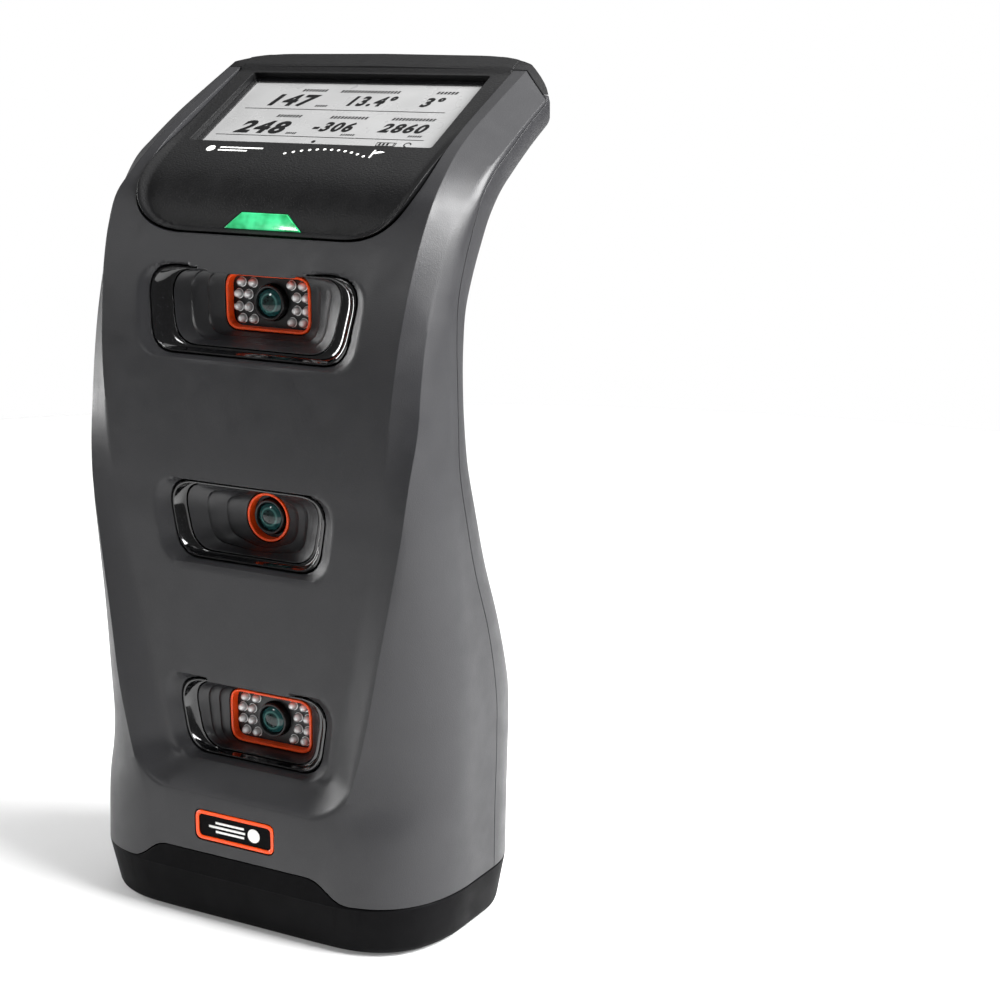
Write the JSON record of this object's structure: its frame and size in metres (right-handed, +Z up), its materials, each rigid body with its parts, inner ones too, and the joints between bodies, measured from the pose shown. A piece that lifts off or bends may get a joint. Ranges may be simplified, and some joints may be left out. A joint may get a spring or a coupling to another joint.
{
  "type": "launch monitor",
  "caption": "Free-standing photometric golf launch monitor: an S-shaped dark grey tower with recessed cameras in its front and a display on its sloping top",
  "frame": {"origin": "on the ground, under the middle of the bounding box", "axes": "the cameras look along -Y, +X is to the right of someone who faces the cameras, +Z is up"},
  "size_m": [0.152, 0.108, 0.3101],
  "materials": {
    "grey_shell": "satin, fine moulded grain",
    "black_plastic": "moulded grain",
    "gloss_black": "polished",
    "cone_black": "satin",
    "orange_plastic": "satin, bright orange",
    "rubber": "matte",
    "circuit_board": "solder mask",
    "status_green": "translucent, lit from behind",
    "lcd_face": "reflective display film",
    "light_guide": "diffusing sheet",
    "lens_glass": "coated",
    "battery_wrap": "shrink wrap",
    "aluminium": "machined",
    "steel": "plain",
    "black_metal": "black oxide"
  },
  "bodies": {
    "housing": {"front_shell": "grey_shell", "rear_shell": "grey_shell", "base_tray": "black_plastic", "display_housing": "black_plastic", "port_bay": "black_plastic", "badge_plate": "black_plastic", "lcd_panel": "lcd_face", "backlight": "light_guide", "display_frame": "steel", "battery_strap": "steel", "dc_jack": "steel", "usb_c_port": "steel", "ethernet_jack": "steel", "door_pin": "steel", "display_board": "circuit_board", "status_light_board": "circuit_board", "main_board": "circuit_board", "wireless_antenna": "circuit_board", "power_switch": "circuit_board", "status_lens": "status_green", "top_window_frame": "gloss_black", "top_cone_bezel": "cone_black", "top_trim": "orange_plastic", "top_lens_barrel": "black_metal", "top_lens_glass": "lens_glass", "top_sensor_board": "circuit_board", "top_led_board": "circuit_board", "middle_window_frame": "gloss_black", "middle_cone_bezel": "cone_black", "middle_trim": "orange_plastic", "middle_lens_barrel": "black_metal", "middle_lens_glass": "lens_glass", "middle_sensor_board": "circuit_board", "middle_lens_collar": "cone_black", "bottom_window_frame": "gloss_black", "bottom_cone_bezel": "cone_black", "bottom_trim": "orange_plastic", "bottom_lens_barrel": "black_metal", "bottom_lens_glass": "lens_glass", "bottom_sensor_board": "circuit_board", "bottom_led_board": "circuit_board", "camera_backbone": "aluminium", "battery": "battery_wrap", "rubber_foot_1": "rubber", "rubber_foot_2": "rubber", "rubber_foot_3": "rubber", "rubber_foot_4": "rubber", "shell_screw_1": "black_metal", "shell_screw_2": "black_metal", "shell_screw_3": "black_metal", "shell_screw_4": "black_metal", "shell_screw_5": "black_metal", "shell_screw_6": "black_metal", "badge_frame": "orange_plastic"},
    "port_door": {"port_door": "rubber"},
    "power_button": {"power_button": "black_plastic"},
    "levelling_wheel": {"levelling_wheel": "black_plastic"},
    "levelling_foot": {"levelling_stem": "steel", "levelling_pad": "rubber"}
  },
  "joints": [
    {"name": "port_door_hinge", "type": "hinge", "parent": "housing", "child": "port_door", "pos_m": [0, 0.03968, 0.05], "axis": [-1, 0, 0], "range_deg": [0, 90]},
    {"name": "power_button_press", "type": "slide", "parent": "housing", "child": "power_button", "axis": [0, -1, 0], "range_m": [0, 0.0012], "stiffness_N_per_m": 1500},
    {"name": "levelling_wheel_turn", "type": "hinge", "parent": "housing", "child": "levelling_wheel", "pos_m": [0, -0.0368, 0.0046], "axis": [0, 0, 1], "range_deg": [0, 2250]},
    {"name": "levelling_foot_slide", "type": "slide", "parent": "housing", "child": "levelling_foot", "axis": [0, 0, -1], "range_m": [0, 0.005]}
  ],
  "couplings": [
    {"joint": "levelling_wheel_turn", "follows": "levelling_foot_slide", "rad_per_m": 7854}
  ]
}
